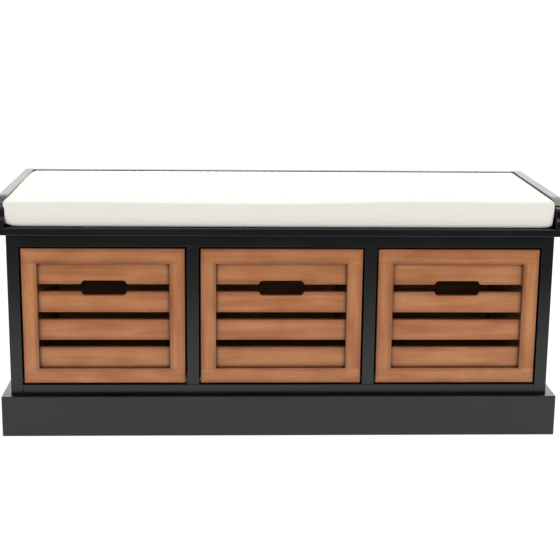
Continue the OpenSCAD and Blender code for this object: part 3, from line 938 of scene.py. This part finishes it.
PIN_MM, SWELL_MM, PRESSURE, STEPS = 4.0, 4.5, 4.0, 20
start = coordinates(cushion.data)
pins = cushion.vertex_groups.new(name="seams")
pins.add([int(i) for i in np.flatnonzero(seam_distance(start) < PIN_MM * MM)], 1.0, "REPLACE")
cloth = cushion.modifiers.new("air", "CLOTH")
cloth.settings.use_pressure = True
cloth.settings.uniform_pressure_force = PRESSURE
cloth.settings.effector_weights.gravity = 0.0
cloth.settings.vertex_group_mass = "seams"
cloth.point_cache.frame_start, cloth.point_cache.frame_end = 1, STEPS
for step in range(1, STEPS + 1):
    scene.frame_set(step)
plain(cushion)
scene.frame_set(1)
move = coordinates(cushion.data) - start
length = np.linalg.norm(move, axis=1, keepdims=True)
cap = SWELL_MM * MM * (1 - np.exp(-length / (SWELL_MM * MM)))
points = start + move * np.divide(cap, length, out=np.zeros_like(length), where=length > 1e-9)
cushion.data.vertices.foreach_set("co", points.ravel())
finer = cushion.modifiers.new("finer", "SUBSURF")
finer.levels = finer.render_levels = 1
plain(cushion)
print(f"swelled {length.max() / MM:.1f} mm, kept to {cap.max() / MM:.1f} mm")

# %% [markdown]
# A used cushion isn't an even block. Its front arris dips where people sit, its lower corners
# are rounded and its ends lean in, because the strip is pulled tight over the foam. Foam also
# gives way to anything hard: the ends are squeezed flat between the arm rails and spread only
# where the rails' fronts curve away. One back corner was never quite filled by its foam. All
# of this is one function on points, so that the seams' stitches can follow it too.

# %% Settle the cushion on the bench
# How far the front arris is raised, in mm, at places along X in metres
DIPS = ((-0.44, -2.8), (-0.36, -2.5), (-0.26, -3.5), (0.0, -4.8), (0.25, 0.8), (0.39, -0.8),
        (0.47, -0.4))
DIP_BLUR_M, DIP_DEEP_M, LEAN_WIDE_M = 0.05, 0.26, 0.02
LEFT_LEAN_MM, RIGHT_LEAN_MM, SPREAD_MM = 0.6, 3.2, 6.0
LEFT_PINCH_MM, RIGHT_PINCH_MM, PINCH_WIDE_MM = 8.0, 3.0, 12.0
SLACK_MM, SLACK_WIDE_MM = 5.0, 22.0
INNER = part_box("arm_rail_right")[0][0]
RAIL_MID = (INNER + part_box("arm_rail_right")[1][0]) / 2
SEAT, BACK_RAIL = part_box("seat_board")[1][2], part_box("back_rail")[0][1]
bm = solid_of(NODES["arm_rail_right"].data)
rail_surface = BVHTree.FromBMesh(bm)
bm.free()


def clear_of_rail(y, z):
    """How far a place beside the cushion's end is from the arm rail; 0 within the rail."""
    spot = Vector((RAIL_MID, y, z))
    nearest, normal, _, distance = rail_surface.find_nearest(spot)
    return distance if (spot - nearest).dot(normal) > 0 else 0.0


def settle(points):
    """Gives points of the even cushion their place on the used one."""
    out = points.copy()
    rise = np.clip((points[:, 2] - BOTTOM) / (TOP - BOTTOM), 0, 1.2)
    low = np.clip(1 - rise, 0, 1)
    to_end = HALF_W - np.abs(points[:, 0] - MID.x)
    to_front = HALF_D - np.abs(points[:, 1] - MID.y)
    side = np.sign(points[:, 0] - MID.x)
    # The front arris dips
    dip_x, dip_mm = zip(*DIPS)
    dip = np.mean([np.interp(points[:, 0] + shift, dip_x, dip_mm)
                   for shift in np.linspace(-DIP_BLUR_M, DIP_BLUR_M, 9)], axis=0)
    forward = np.clip(1 - (points[:, 1] - FRONT) / DIP_DEEP_M, 0, 1)
    out[:, 2] += dip * MM * rise * forward ** 1.5
    # The ends lean in below, and the lower corners are pinched up
    lean = np.where(side < 0, LEFT_LEAN_MM, RIGHT_LEAN_MM) * MM
    out[:, 0] -= side * lean * low ** 1.5 * np.exp(-to_end / LEAN_WIDE_M)
    pinch = np.where(side < 0, LEFT_PINCH_MM, RIGHT_PINCH_MM) * MM
    corner = np.exp(-(to_end ** 2 + to_front ** 2) / (PINCH_WIDE_MM * MM) ** 2)
    out[:, 2] += pinch * corner * low ** 2
    # The slack corner at the back left draws in
    from_corner = (points[:, 0] - LEFT) ** 2 + (points[:, 1] - BACK) ** 2
    slack = SLACK_MM * MM * np.exp(-from_corner / (SLACK_WIDE_MM * MM) ** 2)
    out[:, 0] += slack
    out[:, 1] -= 0.8 * slack
    # The rails and the seat hold it, and it spreads only where the arm rails curve away
    for i in np.flatnonzero(np.abs(out[:, 0]) > INNER - 0.5 * MM):
        free = min(clear_of_rail(out[i, 1], out[i, 2]) / (SPREAD_MM * MM), 1.0)
        limit = INNER - 0.3 * MM + SPREAD_MM * MM * free * free * (3 - 2 * free)
        out[i, 0] = np.clip(out[i, 0], -limit, limit)
    out[:, 1] = np.minimum(out[:, 1], BACK_RAIL - 0.2 * MM)
    out[:, 2] = np.maximum(out[:, 2], SEAT + 0.2 * MM)
    return out


# %% Sew the seams: a fine valley with puckers beside it
# Puckers lie about 7 mm from the seam, every 13 mm along it
PUCKER_MM, PUCKER_OFF_MM, PUCKER_WIDE_MM, PUCKER_EVERY_MM = 0.3, 7, 5, 13
VALLEY_MM, VALLEY_WIDE_MM = 0.5, 2.4
LUMP_MM, LUMPS_PER_M = 0.5, 9
points = coordinates(cushion.data)
distance = seam_distance(points) / MM
around = (points[:, 0] + points[:, 1]) / MM
phase = np.array([noise.noise(Vector((a / 40, 0, 0))) for a in around]) * 4
pucker = (np.sin(around * 2 * math.pi / PUCKER_EVERY_MM + phase) * PUCKER_MM
          * np.exp(-((distance - PUCKER_OFF_MM) / PUCKER_WIDE_MM) ** 2))
valley = -np.exp(-(distance / VALLEY_WIDE_MM) ** 2) * VALLEY_MM
lumps = np.array([noise.noise(Vector(p) * LUMPS_PER_M) for p in points]) * LUMP_MM
normals = np.empty(len(points) * 3)
cushion.data.vertices.foreach_get("normal", normals)
offset = (pucker + valley + lumps * np.clip((distance - 6) / 20, 0, 1)) * MM
points = settle(points + normals.reshape(-1, 3) * offset[:, None])
cushion.data.vertices.foreach_set("co", points.ravel())
cushion.data.update()
print(f"pressed and sewn: it reaches {points[:, 2].max() / MM:.1f} mm above the floor")


# %% Lay the weave flat on each side
def lay_weave(mesh):
    """Stores on each corner the two coordinates that run along the side it belongs to."""
    count = len(mesh.loops)
    verts = np.empty(count, int)
    mesh.loops.foreach_get("vertex_index", verts)
    places = coordinates(mesh)[verts]
    facing = np.empty(len(mesh.polygons) * 3)
    mesh.polygons.foreach_get("normal", facing)
    sizes = np.empty(len(mesh.polygons), int)
    mesh.polygons.foreach_get("loop_total", sizes)
    side = np.abs(facing.reshape(-1, 3)).argmax(axis=1).repeat(sizes)
    first = np.where(side == 0, places[:, 1], places[:, 0])
    second = np.where(side == 2, places[:, 1], places[:, 2])
    layer = mesh.attributes.new("weave", "FLOAT_VECTOR", "CORNER")
    layer.data.foreach_set("vector", np.stack([first, second, np.zeros(count)], axis=1).ravel())


lay_weave(cushion.data)
cushion.data.materials.clear()
cushion.data.materials.append(canvas)
cushion.data.shade_smooth()
cushion.vertex_groups.clear()
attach(cushion, "cushion")
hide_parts("cushion_cover", "cushion_foam")
print("cushion:", len(cushion.data.polygons), "faces")

# %% [markdown]
# ## Stitches
#
# Along both seams the thread shows as a row of tiny beads. A tree walks the seam's line at
# the stitch pitch and sets a bead on each step, pointing along the line. A fixed seed tilts
# them a little.

# %% A tree that sews along a line
stitch_tree = geometry_tree("stitches", [
    ("Pitch", "Float", 0.004), ("Stitch Length", "Float", 0.0028), ("Thread", "Float", 0.0006),
    ("Seed", "Int", 5), ("Material", "Material", None)])
group = add(stitch_tree, "NodeGroupInput").outputs
line = add(stitch_tree, "GeometryNodeMeshToCurve", {"Mesh": group["Geometry"]})
paced = add(stitch_tree, "GeometryNodeCurveToPoints", {"Curve": line, "Length": group["Pitch"]},
            mode="LENGTH").outputs
bead = add(stitch_tree, "GeometryNodeMeshUVSphere", {"Segments": 6, "Rings": 4, "Radius": 0.5})
shape = add(stitch_tree, "ShaderNodeCombineXYZ", {
    "X": group["Thread"], "Y": group["Thread"], "Z": group["Stitch Length"]})
wobble = add(stitch_tree, "FunctionNodeRandomValue", {
    "Min": (-0.12, -0.12, 0), "Max": (0.12, 0.12, 0), "Seed": group["Seed"]},
    data_type="FLOAT_VECTOR")
sewn = add(stitch_tree, "GeometryNodeInstanceOnPoints", {
    "Points": paced["Points"], "Instance": bead, "Rotation": paced["Rotation"], "Scale": shape})
uneven = add(stitch_tree, "GeometryNodeRotateInstances", {
    "Instances": sewn, "Rotation": wobble, "Local Space": True})
end_tree(stitch_tree, uneven, group["Material"])

# %% Sew both seams
cover = BVHTree.FromPolygons([v.co for v in cushion.data.vertices],
                             [p.vertices for p in cushion.data.polygons])


def on_cover(rows, lift):
    """Settles rows of points with the cushion and sets them on its cover, lifted a little."""
    placed = []
    for row in settle(np.array(rows)):
        nearest, normal, _, _ = cover.find_nearest(Vector(row))
        placed.append(nearest + normal * lift)
    return placed


STITCH_PITCH, STITCH_LENGTH, STITCH_THICK = 4.2 * MM, 3.0 * MM, 0.6 * MM
seam_points, seam_edges = [], []
for radius, level, inward in ((TOP_R, TOP, -1), (BOTTOM_R, BOTTOM, 1)):
    sunk = radius * (1 - math.sqrt(0.5))
    ring = outline(sunk, steps=12)
    # Long straight sides are walked in short steps, so that the line can follow the cover
    ring = [tuple(Vector(a).lerp(Vector(b), k / 60)) for a, b in zip(ring, ring[1:] + ring[:1])
            for k in (range(60) if (Vector(b) - Vector(a)).length > 0.05 else (0,))]
    first = len(seam_points)
    seam_points += on_cover([(x, y, level + inward * sunk) for x, y in ring], 0.1 * MM)
    seam_edges += [(first + i, first + (i + 1) % len(ring)) for i in range(len(ring))]
seam = bpy.data.meshes.new("seam")
seam.from_pydata(seam_points, seam_edges, [])
stitches = run_tree("cushion_stitches", seam, stitch_tree, {
    "Pitch": STITCH_PITCH, "Stitch Length": STITCH_LENGTH, "Thread": STITCH_THICK, "Seed": 5,
    "Material": thread})
stitches.data.shade_smooth()
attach(stitches, "cushion")
print("stitches:", len(stitches.data.polygons), "faces")

# %% [markdown]
# ## A loose thread end
#
# Where the machine stopped, a short end of thread hangs from the lower seam over the front of
# the seat. It is a curve of four points with a round bevel, turned into a mesh.

# %% The thread end
# X in metres, then mm ahead of the cushion's front and above its underside
THREAD_END = [(-0.3512, 0.6, 2.4), (-0.3518, 1.6, 1.4), (-0.3530, 2.4, 0.6),
              (-0.3546, 2.6, -1.2)]
path = bpy.data.curves.new("thread_end", "CURVE")
path.dimensions = "3D"
path.bevel_depth = STITCH_THICK / 2
path.bevel_resolution = 2
path.resolution_u = 6
path.use_fill_caps = True
spline = path.splines.new("NURBS")
spline.points.add(len(THREAD_END) - 1)
spline.order_u = 4
spline.use_endpoint_u = True
for knot, (x, ahead, above) in zip(spline.points, THREAD_END):
    knot.co = (x, FRONT - ahead * MM, BOTTOM + above * MM, 1)
curve = put("thread_path", path)
thread_end = put("cushion_thread_end", bpy.data.meshes.new_from_object(
    curve.evaluated_get(bpy.context.evaluated_depsgraph_get())))
bpy.data.objects.remove(curve)
thread_end.data.materials.clear()
thread_end.data.materials.append(thread)
thread_end.data.shade_smooth()
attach(thread_end, "cushion")
print("thread end:", len(thread_end.data.polygons), "faces")
